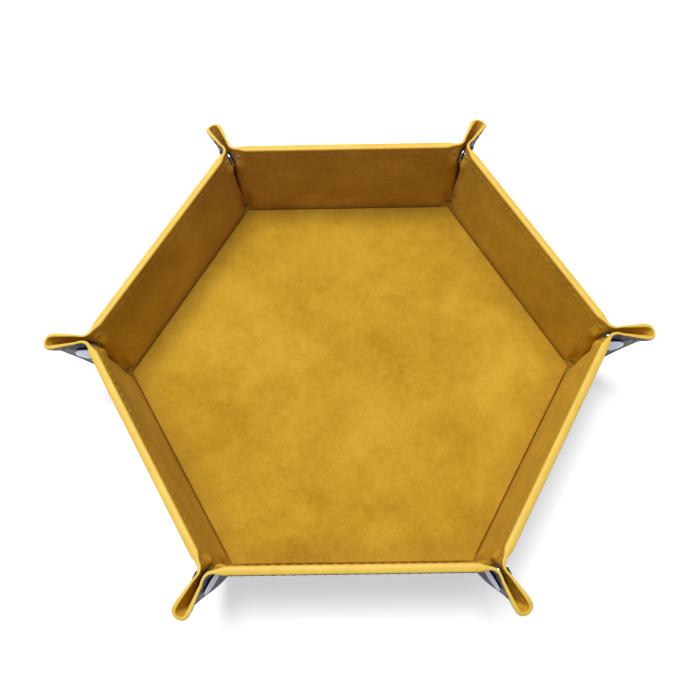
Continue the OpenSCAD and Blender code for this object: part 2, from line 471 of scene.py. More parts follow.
def board_cover(x, y):
    """1 over a board and 0 over the soft leather between boards, in the sheet at one wall."""
    floor = 1 - smoothstep(-0.2 * MM, GROOVE_RAMP, x - FLOOR_S)
    wall = 1 - smoothstep(-0.2 * MM, GROOVE_RAMP, BOARD_S - x)
    end = 1 - smoothstep(-0.2 * MM, END_RAMP, np.abs(y) - BOARD_HALF)
    return np.maximum(floor, wall * end)


def lining_top(x, y):
    """Height of the inside face of the lining over the outside face of the cover."""
    return SOFT_T + BOARD_T * board_cover(x, y)


def grid(columns, rows, place):
    """The (columns, rows, 2) places in the sheet given by place(column value, row value)."""
    return np.array([[place(c, r) for r in rows] for c in columns], float)


def fold_strip_grid(x_values):
    """The strip across one wall's fold, from mitre to mitre."""
    inner = BOARD_HALF - 1 * MM
    middle = list(np.linspace(-inner, inner, 25))
    shares = list(np.linspace(0, 1, 13)[1:])

    def half_width(x):
        return FOLD_HALF + x * (MITRE if x > 0 else math.tan(MIRROR_ANGLE))

    def place(column, x):
        kind, value = column
        if kind == "middle":
            return (x, value)
        side = math.copysign(1, value)
        return (x, side * (inner + abs(value) * (half_width(x) - inner)))

    columns = [("end", -s) for s in reversed(shares)]
    columns += [("middle", y) for y in middle]
    columns += [("end", s) for s in shares]
    return grid(columns, x_values, place)


def rim_point(t):
    """The outline of the sheet at half an ear, t along it from the end of the wall; and outward."""
    straight = CORNER_D * math.sin(MIRROR_ANGLE)
    if t <= straight:
        return np.array((RIM_S, t)), np.array((1.0, 0.0))
    angle = (t - straight) / CORNER_R
    centre = CORNER_D * np.array((math.cos(MIRROR_ANGLE), math.sin(MIRROR_ANGLE)))
    outward = np.array((math.cos(angle), math.sin(angle)))
    return centre + CORNER_R * outward, outward


RIM_END_T = CORNER_D * math.sin(MIRROR_ANGLE) + CORNER_R * MIRROR_ANGLE


def split_t():
    """Where along the rim the side of an ear is cut into its two pieces."""
    values = np.linspace(0, RIM_END_T, 400)
    angles = [math.atan2(*rim_point(t)[0][::-1]) for t in values]
    return float(np.interp(SPLIT_ANGLE, angles, values))


def foot_point(t):
    """The lower border of half an ear under the rim's point t: along the wall's foot, then to the
    corner of the folds and up along the middle of the ear."""
    if t <= 0:
        return np.array((WALL_FOOT_S, t))
    share = t / RIM_END_T
    reach = FOOT_REACH + (WALL_FOOT_S - FOOT_REACH) * (1 - min(1, share * 5)) ** 3
    angle = math.atan2(*rim_point(t)[0][::-1])
    return reach * np.array((math.cos(angle), math.sin(angle)))


def ear_grid(t_values, rows):
    """Columns from the foot to the outline of half an ear, and the outline's outward directions."""
    places, outward = [], []
    for t in t_values:
        top, out = rim_point(t)
        top = top - out * EDGE_INSET
        foot = foot_point(t)
        places.append([foot + (top - foot) * r + (0, FOLD_HALF) for r in rows])
        outward.append(out)
    return np.array(places), np.array(outward)


# ---------------------------------------------------------------- shader groups

def new_group(name, inputs, outputs):
    """A shader node group with named float or colour inputs and outputs."""
    group = bpy.data.node_groups.new(name, "ShaderNodeTree")
    for label, kind, value in inputs:
        socket = group.interface.new_socket(name=label, in_out="INPUT", socket_type=kind)
        socket.default_value = value
    for label, kind in outputs:
        group.interface.new_socket(name=label, in_out="OUTPUT", socket_type=kind)
    return group, group.nodes.new("NodeGroupInput"), group.nodes.new("NodeGroupOutput")


def node(tree, kind, **values):
    """A new node; values set its properties, or its inputs where the name is a socket's."""
    made = tree.nodes.new(kind)
    for key, value in values.items():
        if hasattr(made, key):
            setattr(made, key, value)
        else:
            made.inputs[key.replace("_", " ")].default_value = value
    return made


def math_node(tree, operation, a, b=None):
    """A math node; a and b are sockets or numbers."""
    made = tree.nodes.new("ShaderNodeMath")
    made.operation = operation
    for i, value in enumerate((a, b)):
        if isinstance(value, bpy.types.NodeSocket):
            tree.links.new(value, made.inputs[i])
        elif value is not None:
            made.inputs[i].default_value = value
    return made.outputs[0]


def mottle_group():
    """Soft clouds at a large size with fainter ones inside them."""
    tree, source, sink = new_group(
        "Tray Mottling",
        [("Vector", "NodeSocketVector", (0, 0, 0)), ("Scale", "NodeSocketFloat", 30.0),
         ("Contrast", "NodeSocketFloat", 1.0)],
        [("Mask", "NodeSocketFloat")])
    large = node(tree, "ShaderNodeTexNoise", Detail=3.0, Roughness=0.55, Distortion=0.6)
    fine = node(tree, "ShaderNodeTexNoise", Detail=5.0, Roughness=0.6, Distortion=0.3)
    tree.links.new(source.outputs["Vector"], large.inputs["Vector"])
    tree.links.new(source.outputs["Vector"], fine.inputs["Vector"])
    tree.links.new(source.outputs["Scale"], large.inputs["Scale"])
    tree.links.new(math_node(tree, "MULTIPLY", source.outputs["Scale"], 4.3), fine.inputs["Scale"])
    both = math_node(tree, "ADD", math_node(tree, "MULTIPLY", large.outputs[0], 0.68),
                     math_node(tree, "MULTIPLY", fine.outputs[0], 0.32))
    centred = math_node(tree, "SUBTRACT", both, 0.5)
    spread_out = math_node(tree, "MULTIPLY", centred, source.outputs["Contrast"])
    shifted = math_node(tree, "ADD", spread_out, 0.5)
    clamped = node(tree, "ShaderNodeClamp")
    tree.links.new(shifted, clamped.inputs["Value"])
    tree.links.new(clamped.outputs[0], sink.inputs["Mask"])
    return tree


def grain_group():
    """Leather grain: cells with sunken borders, broken up by finer noise."""
    tree, source, sink = new_group(
        "Tray Leather Grain",
        [("Vector", "NodeSocketVector", (0, 0, 0)), ("Scale", "NodeSocketFloat", 1000.0),
         ("Fine", "NodeSocketFloat", 0.35)],
        [("Height", "NodeSocketFloat"), ("Pits", "NodeSocketFloat")])
    bend = node(tree, "ShaderNodeTexNoise", Detail=2.0, Roughness=0.5)
    tree.links.new(source.outputs["Vector"], bend.inputs["Vector"])
    tree.links.new(math_node(tree, "MULTIPLY", source.outputs["Scale"], 0.4), bend.inputs["Scale"])
    offset = node(tree, "ShaderNodeVectorMath", operation="SCALE", Scale=0.0006)
    tree.links.new(bend.outputs["Color"], offset.inputs[0])
    moved = node(tree, "ShaderNodeVectorMath", operation="ADD")
    tree.links.new(source.outputs["Vector"], moved.inputs[0])
    tree.links.new(offset.outputs[0], moved.inputs[1])
    cells = node(tree, "ShaderNodeTexVoronoi", feature="DISTANCE_TO_EDGE", Randomness=1.0)
    tree.links.new(moved.outputs[0], cells.inputs["Vector"])
    tree.links.new(source.outputs["Scale"], cells.inputs["Scale"])
    domes = node(tree, "ShaderNodeMapRange", interpolation_type="SMOOTHSTEP")
    domes.inputs["From Max"].default_value = 0.28
    tree.links.new(cells.outputs["Distance"], domes.inputs["Value"])
    dust = node(tree, "ShaderNodeTexNoise", Detail=4.0, Roughness=0.65)
    tree.links.new(source.outputs["Vector"], dust.inputs["Vector"])
    tree.links.new(math_node(tree, "MULTIPLY", source.outputs["Scale"], 2.2), dust.inputs["Scale"])
    fine = math_node(tree, "MULTIPLY", dust.outputs[0], source.outputs["Fine"])
    tree.links.new(math_node(tree, "ADD", domes.outputs[0], fine), sink.inputs["Height"])
    tree.links.new(math_node(tree, "SUBTRACT", 1.0, domes.outputs[0]), sink.inputs["Pits"])
    return tree


def wrinkle_group():
    """Long shallow creases, as in soft leather glued over a board."""
    tree, source, sink = new_group(
        "Tray Wrinkles",
        [("Vector", "NodeSocketVector", (0, 0, 0)), ("Scale", "NodeSocketFloat", 60.0)],
        [("Height", "NodeSocketFloat")])
    stretch = node(tree, "ShaderNodeMapping")
    stretch.inputs["Rotation"].default_value = (0, 0, math.radians(24))
    stretch.inputs["Scale"].default_value = (1.0, 2.3, 1.0)
    tree.links.new(source.outputs["Vector"], stretch.inputs["Vector"])
    ridges = node(tree, "ShaderNodeTexNoise", Detail=3.0, Roughness=0.5, Distortion=1.4)
    tree.links.new(stretch.outputs[0], ridges.inputs["Vector"])
    tree.links.new(source.outputs["Scale"], ridges.inputs["Scale"])
    folded = math_node(tree, "ABSOLUTE", math_node(tree, "SUBTRACT", ridges.outputs[0], 0.5))
    tree.links.new(math_node(tree, "SUBTRACT", 0.5, folded), sink.inputs["Height"])
    return tree


# ---------------------------------------------------------------- materials

def new_material(name):
    """The node tree and the Principled shader of a new material."""
    material = bpy.data.materials.new(name)
    material.use_nodes = True
    tree = material.node_tree
    return tree, tree.nodes["Principled BSDF"]


def use_group(tree, group, place, **values):
    """A group laid over a piece in a material, with its own values."""
    made = tree.nodes.new("ShaderNodeGroup")
    made.node_tree = group
    tree.links.new(place, made.inputs["Vector"])
    for key, value in values.items():
        made.inputs[key].default_value = value
    return made.outputs


def mix_colour(tree, factor, a, b, blend="MIX"):
    """A colour mix; a and b are sockets or colours."""
    made = tree.nodes.new("ShaderNodeMix")
    made.data_type = "RGBA"
    made.blend_type = blend
    for socket, value in ((made.inputs[0], factor), (made.inputs[6], a), (made.inputs[7], b)):
        if isinstance(value, bpy.types.NodeSocket):
            tree.links.new(value, socket)
        else:
            socket.default_value = value
    return made.outputs[2]


def bump(tree, height, strength, distance, below=None):
    """A bump node over a height, on top of another bump if one is given."""
    made = node(tree, "ShaderNodeBump", Strength=strength, Distance=distance)
    tree.links.new(height, made.inputs["Height"])
    if below is not None:
        tree.links.new(below, made.inputs["Normal"])
    return made.outputs[0]


def sheet_vector(tree):
    """Places in the flat sheet, so that a pattern follows the leather round its folds."""
    return node(tree, "ShaderNodeUVMap", uv_map="sheet").outputs[0]


def object_vector(tree):
    """Places on the object."""
    return node(tree, "ShaderNodeTexCoord").outputs["Object"]


def shade(colour, gain=1.0):
    """A colour made lighter or darker, as a material takes it."""
    return (*[min(1, gain * c) for c in colour], 1)


def scaled(tree, mask, gain, base=0.0):
    """base plus gain times a mask."""
    return math_node(tree, "ADD", math_node(tree, "MULTIPLY", mask, gain), base)


def point_value(tree, name):
    """A number kept at each point of the piece."""
    return node(tree, "ShaderNodeAttribute", attribute_name=name).outputs["Fac"]


def finish(tree, shader, colour, roughness, normal):
    """Gives the shader its colour, its normal, and its roughness as a socket or a number."""
    tree.links.new(colour, shader.inputs["Base Color"])
    tree.links.new(normal, shader.inputs["Normal"])
    if isinstance(roughness, bpy.types.NodeSocket):
        tree.links.new(roughness, shader.inputs["Roughness"])
    else:
        shader.inputs["Roughness"].default_value = roughness


# Painted shade browns the lining towards the back walls; painted sheen yellows it towards the front.
PAINTED_SHADE_TINT = (0.93, 0.84, 2.3, 1)
PAINTED_SHEEN_TINT = (1.10, 1.10, 0.90, 1)
# Painted shade: the dark brown laid into folds, beside them and into the ears' pockets
PAINTED_SHADE = (0.20, 0.078, 0.012, 1)


def lining_material(leather, groups):
    """Mustard suede-like leather: clouded, matt, with a fine nap and faint wrinkles."""
    tree, shader = new_material("Tray Lining")
    place = sheet_vector(tree)
    clouds = use_group(tree, groups["mottle"], place, Scale=24.0, Contrast=3.6)["Mask"]
    nap = use_group(tree, groups["mottle"], place, Scale=420.0, Contrast=2.6)["Mask"]
    grain = use_group(tree, groups["grain"], place, Scale=1500.0, Fine=0.8)
    wrinkles = use_group(tree, groups["wrinkles"], place, Scale=75.0)["Height"]
    base = mix_colour(tree, clouds, shade(leather.lining_dark), shade(leather.lining))
    napped = mix_colour(tree, scaled(tree, nap, 0.22), base, shade(leather.lining, 1.5))
    pitted = mix_colour(tree, scaled(tree, grain["Pits"], 0.3), napped,
                        shade(leather.lining_dark, 0.6))
    # Painted shade and sheen: the lining browns towards the back walls and yellows towards the front
    painted_tint = point_value(tree, "painted_tint")
    shade_tinted = mix_colour(tree, math_node(tree, "MAXIMUM", painted_tint, 0.0), pitted, PAINTED_SHADE_TINT, "MULTIPLY")
    sheen_share = math_node(tree, "MAXIMUM", scaled(tree, painted_tint, -1.0), 0.0)
    shade_and_sheen_tinted = mix_colour(tree, sheen_share, shade_tinted, PAINTED_SHEEN_TINT, "MULTIPLY")
    soft = bump(tree, wrinkles, 0.35, 0.8 * MM)
    # Painted shade: darkens the lining in folds, beside them and in the ears' pockets
    finish(tree, shader, mix_colour(tree, point_value(tree, "crease"), shade_and_sheen_tinted, PAINTED_SHADE),
           scaled(tree, clouds, -0.14, 0.86), bump(tree, grain["Height"], 0.35, 0.07 * MM, soft))
    shader.inputs["Specular IOR Level"].default_value = 0.14
    shader.inputs["Sheen Weight"].default_value = 0.06
    shader.inputs["Sheen Roughness"].default_value = 0.5
    shader.inputs["Sheen Tint"].default_value = (1.0, 0.80, 0.42, 1)


def cover_material(leather, groups):
    """Near-black grained leather with a violet cast."""
    tree, shader = new_material("Tray Cover")
    place = sheet_vector(tree)
    clouds = use_group(tree, groups["mottle"], place, Scale=40.0, Contrast=1.8)["Mask"]
    grain = use_group(tree, groups["grain"], place, Scale=1 / leather.grain, Fine=0.25)
    wrinkles = use_group(tree, groups["wrinkles"], place, Scale=60.0)["Height"]
    base = mix_colour(tree, clouds, shade(leather.cover), shade(leather.cover, 1.9))
    worn = mix_colour(tree, scaled(tree, grain["Pits"], 0.35), base, shade(leather.cover, 0.5))
    soft = bump(tree, wrinkles, 0.25, 0.6 * MM)
    finish(tree, shader, worn, scaled(tree, grain["Pits"], 0.2, 0.40),
           bump(tree, grain["Height"], 0.35, 0.08 * MM, soft))
    shader.inputs["Specular IOR Level"].default_value = 0.35


def edge_material(leather, groups):
    """Bright yellow edge paint over the cut edge of the sheet."""
    tree, shader = new_material("Tray Edge Paint")
    place = object_vector(tree)
    clouds = use_group(tree, groups["mottle"], place, Scale=70.0, Contrast=2.0)["Mask"]
    skin = use_group(tree, groups["mottle"], place, Scale=600.0, Contrast=1.5)["Mask"]
    dull = [c * gain for c, gain in zip(leather.edge, (0.86, 0.78, 0.6))]
    painted = mix_colour(tree, clouds, shade(dull), shade(leather.edge))
    lined = mix_colour(tree, point_value(tree, "over_lining"), painted, shade(leather.lining))
    covered = mix_colour(tree, point_value(tree, "over_cover"), lined, shade(leather.cover))
    finish(tree, shader, covered, scaled(tree, skin, 0.2, 0.42), bump(tree, skin, 0.3, 0.1 * MM))


def thread_material(name, colour, groups):
    """Waxed sewing thread with a fine twist."""
    tree, shader = new_material(name)
    place = object_vector(tree)
    fuzz = use_group(tree, groups["mottle"], place, Scale=900.0, Contrast=2.0)["Mask"]
    twist = node(tree, "ShaderNodeTexWave", wave_type="BANDS", bands_direction="DIAGONAL",
                 Scale=900.0, Distortion=0.4)
    tree.links.new(place, twist.inputs["Vector"])
    finish(tree, shader, mix_colour(tree, fuzz, shade(colour, 0.62), shade(colour)), 0.62,
           bump(tree, twist.outputs[0], 0.5, 0.08 * MM))


def metal_material(snaps, groups):
    """Bright plated metal with a faint haze and fine scratches."""
    tree, shader = new_material("Tray Snap Metal")
    place = object_vector(tree)
    haze = use_group(tree, groups["mottle"], place, Scale=220.0, Contrast=2.0)["Mask"]
    stretch = node(tree, "ShaderNodeMapping", Scale=(1.0, 14.0, 3.0))
    tree.links.new(place, stretch.inputs["Vector"])
    scratches = node(tree, "ShaderNodeTexNoise", Scale=900.0, Detail=2.0)
    tree.links.new(stretch.outputs[0], scratches.inputs["Vector"])
    shader.inputs["Metallic"].default_value = 1.0
    finish(tree, shader, mix_colour(tree, haze, shade(snaps.metal, 0.82), shade(snaps.metal)),
           scaled(tree, haze, 0.12, 0.12), bump(tree, scratches.outputs[0], 0.08, 0.05 * MM))


def board_material(groups):
    """Grey-brown pressed board with loose fibres."""
    tree, shader = new_material("Tray Board")
    fibres = use_group(tree, groups["mottle"], object_vector(tree), Scale=500.0,
                       Contrast=2.4)["Mask"]
    finish(tree, shader, mix_colour(tree, fibres, (0.25, 0.18, 0.11, 1), (0.45, 0.35, 0.23, 1)),
           0.9, bump(tree, fibres, 0.4, 0.15 * MM))


def floor_material(groups):
    """Pale studio floor, lit a little from below so that shadows stay light, and more far away."""
    tree, shader = new_material("Studio Floor")
    place = object_vector(tree)
    clouds = use_group(tree, groups["mottle"], place, Scale=2.0, Contrast=1.0)["Mask"]
    tree.links.new(mix_colour(tree, clouds, (0.90, 0.90, 0.90, 1), (0.94, 0.94, 0.94, 1)),
                   shader.inputs["Base Color"])
    shader.inputs["Roughness"].default_value = 0.7
    far = node(tree, "ShaderNodeVectorMath", operation="LENGTH")
    tree.links.new(place, far.inputs[0])
    fade = node(tree, "ShaderNodeMapRange", interpolation_type="SMOOTHSTEP")
    fade.inputs["From Min"].default_value = 0.3
    fade.inputs["From Max"].default_value = 1.3
    tree.links.new(far.outputs["Value"], fade.inputs["Value"])
    tree.links.new(mix_colour(tree, fade.outputs[0], (0.5, 0.5, 0.5, 1), (1, 1, 1, 1)),
                   shader.inputs["Emission Color"])
    shader.inputs["Emission Strength"].default_value = 1.0


# ---------------------------------------------------------------- pieces made from the sheet

def lining_slab(places):
    """The lining over a grid of places in the sheet."""
    top = lining_top(places[..., 0], places[..., 1])
    return slab(places, top - LEATHER_T, top)


def cover_slab(places):
    """The cover over a grid of places in the sheet."""
    return slab(places, 0.0, LEATHER_T)


# The painted edge: how far it stands out on soft leather and how much more over a board, how full
# its round is, how far it tucks in behind, and its gap to both faces there
EDGE_OUT, EDGE_OUT_BOARD = 0.92 * EDGE_INSET, 0.42 * EDGE_INSET
EDGE_FULLNESS = 0.8
EDGE_TUCK = 1.1 * EDGE_INSET
EDGE_GAP = 0.15 * MM
EDGE_STEPS = 13


def edge_band(name, base, outward, stand, k, mirrored=False):
    """The painted edge along a line of the sheet: half round outside, tucked in behind."""
    top = lining_top(base[:, 0], base[:, 1])
    bulge = EDGE_OUT + EDGE_OUT_BOARD * (top - SOFT_T) / BOARD_T
    rings = [(np.sin(turn) ** EDGE_FULLNESS * bulge if 0 < turn < math.pi else 0 * bulge,
              top / 2 * (1 - math.cos(turn))) for turn in np.linspace(0, math.pi, EDGE_STEPS)]
    rings += [(0 * bulge - EDGE_TUCK, top - EDGE_GAP), (0 * bulge - EDGE_TUCK, 0 * top + EDGE_GAP)]
    points = np.concatenate([np.column_stack([base + outward * reach[:, None], height])
                             for reach, height in rings])
    columns, count = len(base), len(rings)
    faces = []
    for p in range(count):
        a, b = p * columns, (p + 1) % count * columns
        faces += [(a + i, b + i, b + i + 1, a + i + 1) for i in range(columns - 1)]
    faces.append(tuple(p * columns for p in reversed(range(count))))
    faces.append(tuple(p * columns + columns - 1 for p in range(count)))
    piece, weight = finish_flat(name, points, faces, stand, k, "Tray Edge Paint", mirrored)
    over = points[:, 2] / np.tile(top, count)
    mark_points(piece, "over_lining", smoothstep(0.80, 0.93, over))
    mark_points(piece, "over_cover", 1 - smoothstep(0.02, 0.07, over))
    return piece, weight


def finish_flat(name, flat, faces, stand, k, material, mirrored=False):
    """Stands a flat mesh up at wall k; returns the piece and each point's share of the turn."""
    stood, weight = stand(flat)
    if mirrored:
        flat = flat * (1, -1, 1)
        stood = stood * (1, -1, 1)
    if is_inside_out(stood, faces):
        faces = [tuple(reversed(f)) for f in faces]
    spin = Matrix.Rotation((k - 0.5) * 2 * MIRROR_ANGLE, 4, "Z")
    sheet_xy = placed(flat, spin @ Matrix.Translation((FOLD_APOTHEM, 0, 0)))[:, :2]
    world = placed(stood, spin @ Matrix.Translation((FOLD_APOTHEM, 0, FOLD_Z)))
    return mesh_object(name, world, faces, material, sheet_xy), weight


def layer_piece(name, layer, stand, k, material, mirrored=False):
    """One leather layer, given as its flat points and faces, stood up at wall k."""
    flat, faces = layer
    piece, weight = finish_flat(name, flat, faces, stand, k, material, mirrored)
    if material == "Tray Lining":
        # Marks where shade is painted, and the painted shade and sheen tint of each wall
        mark_points(piece, "crease", painted_shade_mask(flat))
        mark_points(piece, "painted_tint", painted_tint_mask(flat, vertex_places(piece)))
    return piece, weight


def settle(piece, bodies, weight, slot, *nodes):
    """Rides a piece on one body, or only bakes its place when given two; hides the CAD nodes it replaces."""
    if len(bodies) == 1:
        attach(piece, bodies[0])
    else:
        bend_between(piece, *bodies, weight)
    if nodes:
        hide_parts(*nodes)


LAYERS = (("lining", lining_slab, "Tray Lining", "lining_leather"),
          ("cover", cover_slab, "Tray Cover", "cover_leather"))


# ---------------------------------------------------------------- operators

class TRAY_OT_materials(bpy.types.Operator):
    """Make the materials of the tray from the settings"""
    bl_idname = "object.tray_materials"
    bl_label = "Materials"

    def execute(self, context):
        scene = context.scene
        groups = {"mottle": mottle_group(), "grain": grain_group(), "wrinkles": wrinkle_group()}
        lining_material(scene.tray_leather, groups)
        cover_material(scene.tray_leather, groups)
        edge_material(scene.tray_leather, groups)
        thread_material("Tray Thread", scene.tray_stitches.colour, groups)
        thread_material("Tray Outer Thread", scene.tray_stitches.outer_colour, groups)
        metal_material(scene.tray_snaps, groups)
        board_material(groups)
        floor_material(groups)
        return {"FINISHED"}


class TRAY_OT_boards(bpy.types.Operator):
    """Give the stiffening boards their pressed-board surface"""
    bl_idname = "object.tray_boards"
    bl_label = "Boards"

    def execute(self, context):
        for name, board in frame["nodes"].items():
            if name.endswith("_board"):
                board.data.materials.clear()
                board.data.materials.append(bpy.data.materials["Tray Board"])
        return {"FINISHED"}


def hexagon_grid(apothem, rings, steps):
    """Rings of places from near the middle to a hexagon, as closed (columns, rows, 2)."""
    columns = []
    for side in range(SIDES):
        start = side * 2 * MIRROR_ANGLE
        for i in range(steps):
            across = (2 * i / steps - 1) * math.tan(MIRROR_ANGLE)
            middle = start + MIRROR_ANGLE
            x = math.cos(middle) - across * math.sin(middle)
            y = math.sin(middle) + across * math.cos(middle)
            columns.append([(apothem * r * x, apothem * r * y) for r in rings])
    return np.array(columns)


def closed_disc(name, places, low, high, material):
    """A closed plate over rings of places: a fan in the middle, quads outside, both faces."""
    columns, rows = places.shape[:2]
    flat = np.concatenate([np.dstack([places, z]).reshape(-1, 3) for z in (low, high)])
    centre = np.array([(0, 0, low[:, 0].mean()), (0, 0, high[:, 0].mean())])
    flat = np.concatenate([flat, centre])

    def at(layer, i, j):
        return (layer * columns + i % columns) * rows + j

    faces = []
    for i in range(columns):
        for j in range(rows - 1):
            faces.append((at(0, i, j), at(0, i + 1, j), at(0, i + 1, j + 1), at(0, i, j + 1)))
            faces.append((at(1, i, j), at(1, i, j + 1), at(1, i + 1, j + 1), at(1, i + 1, j)))
        faces.append((at(0, i, rows - 1), at(0, i + 1, rows - 1), at(1, i + 1, rows - 1),
                      at(1, i, rows - 1)))
        faces.append((len(flat) - 2, at(0, i + 1, 0), at(0, i, 0)))
        faces.append((len(flat) - 1, at(1, i, 0), at(1, i + 1, 0)))
    if is_inside_out(flat, faces):
        faces = [tuple(reversed(f)) for f in faces]
    return mesh_object(name, flat, faces, material, flat[:, :2])


WAVE_HEIGHT = 0.07 * MM


def floor_waves(places, fade):
    """Shallow creases in the leather of the floor, fading out towards its border."""
    x, y = places[..., 0] / MM, places[..., 1] / MM
    waves = (np.sin(0.21 * x + 1.3 * np.sin(0.06 * y + 0.4)) * np.sin(0.13 * y + 0.05 * x + 1.0)
             + 0.6 * np.sin(0.47 * x - 0.19 * y + 2.0 * np.sin(0.05 * x)))
    return WAVE_HEIGHT * waves * fade


class TRAY_OT_floor(bpy.types.Operator):
    """Build the leather above and below the floor board"""
    bl_idname = "object.tray_floor"
    bl_label = "Floor"

    def execute(self, context):
        border = FOLD_APOTHEM + FLOOR_EDGE_S
        rings = np.concatenate([[0.02], np.linspace(0.05, 0.93, 36), np.linspace(0.95, 1, 6)])
        top = hexagon_grid(border, rings, 40)
        fade = np.broadcast_to(1 - smoothstep(0.9, 0.985, rings), top.shape[:2])
        high = SHEET_T + floor_waves(top, fade)
        piece = closed_disc("floor_lining", top, high - LEATHER_T, high, "Tray Lining")
        places = vertex_places(piece)
        turns = (np.array(CORNERS) - 0.5) * 2 * MIRROR_ANGLE
        out = (places[:, :1] * np.cos(turns) + places[:, 1:2] * np.sin(turns)).max(axis=1)
        # Painted shade along the floor's border, where the walls shade it
        mark_points(piece, "crease", PAINTED_SHADE_BESIDE_FOLD * smoothstep(border - SHADE_REACH_ON_FLOOR, border, out))
        settle(piece, ("base",), None, "lining_leather", "base_lining")
        under = hexagon_grid(FOLD_APOTHEM + COVER_EDGE_S, np.linspace(0.05, 1, 20), 16)
        flat = np.zeros(under.shape[:2])
        piece = closed_disc("floor_cover", under, flat, flat + LEATHER_T, "Tray Cover")
        settle(piece, ("base",), None, "cover_leather", "base_cover")
        return {"FINISHED"}


class TRAY_OT_folds(bpy.types.Operator):
    """Build the strips of leather that cross the fold under each wall"""
    bl_idname = "object.tray_folds"
    bl_label = "Folds"

    def execute(self, context):
        lining_x = spread(FLOOR_EDGE_S, 6, -3.6 * MM, 24, 1.6 * MM, 8, WALL_FOOT_S)
        cover_x = spread(COVER_EDGE_S, 6, 0.0, 14, 2.4 * MM, 6, WALL_FOOT_S)
        for k in CORNERS:
            for (kind, layer, material, slot), xs, stand in zip(
                    LAYERS, (lining_x, cover_x), (stand_lining_fold, stand_fold(0.0, 2.4 * MM))):
                piece, weight = layer_piece(f"fold_{k}_{kind}", layer(fold_strip_grid(xs)), stand,
                                            k, material)
                settle(piece, ("base", f"wall_{k}"), weight, slot, f"wall_{k}_{kind}")
        return {"FINISHED"}


class TRAY_OT_walls(bpy.types.Operator):
    """Build the leather on both sides of each wall, with its painted edge"""
    bl_idname = "object.tray_walls"
    bl_label = "Walls"

    def execute(self, context):
        inner = BOARD_HALF - 3 * MM
        across = spread(-BOARD_HALF, 8, -inner, 60, inner, 8, BOARD_HALF)
        up = spread(WALL_FOOT_S, 24, RIM_S - 4 * MM, 8, RIM_S - EDGE_INSET)
        places = grid(across, up, lambda y, x: (x, y))
        rim = places[:, -1]
        outward = np.tile((1.0, 0.0), (len(rim), 1))
        for k in CORNERS:
            for kind, layer, material, slot in LAYERS:
                piece, weight = layer_piece(f"wall_{k}_{kind}_panel", layer(places), stand_wall, k,
                                            material)
                settle(piece, (f"wall_{k}",), weight, slot, f"wall_{k}_{kind}")
            piece, weight = edge_band(f"wall_{k}_edge", rim, outward, stand_wall, k)
            settle(piece, (f"wall_{k}",), weight, "lining_leather", f"wall_{k}_lining",
                   f"wall_{k}_cover")
        return {"FINISHED"}


def ear_halves(k):
    """The two halves of ear k: side name, its wall, and whether it is mirrored."""
    return (("left", k, True), ("right", (k - 2) % SIDES + 1, False))


def ear_parts(k, side, wall):
    """The two parts of half an ear: name, how it stands up, its bodies, and its CAD node."""
    ear_side = f"ear_side_{k}_{side}"
    return (("side", stand_ear_side, (f"wall_{wall}", ear_side), f"ear_{k}_{side}"),
            ("tip", stand_ear_tip, (ear_side, f"ear_tip_{k}_{side}"), f"tip_{k}_{side}"))


class TRAY_OT_ears(bpy.types.Operator):
    """Build the leather of the ears between the walls, with its painted edge"""
    bl_idname = "object.tray_ears"
    bl_label = "Ears"

    def execute(self, context):
        split = split_t()
        rows = spread(0.0, 10, 0.25, 20, 0.8, 12, 1.0)
        along = {"side": spread(EAR_INNER, 30, 3 * MM, 24, split),
                 "tip": spread(split, 48, RIM_END_T)}
        for k in CORNERS:
            for side, wall, mirrored in ear_halves(k):
                for part, stand, bodies, node_name in ear_parts(k, side, wall):
                    places, outward = ear_grid(along[part], rows)
                    name = f"ear_{k}_{side}_{part}"
                    made = [(*layer_piece(f"{name}_{kind}", layer(places), stand, wall, material,
                                          mirrored), slot)
                            for kind, layer, material, slot in LAYERS]
                    made.append((*edge_band(f"{name}_edge", places[:, -1], outward, stand, wall,
                                            mirrored), "lining_leather"))
                    for piece, weight, slot in made:
                        settle(piece, bodies, weight, slot, node_name)
        return {"FINISHED"}


# ---------------------------------------------------------------- stitches

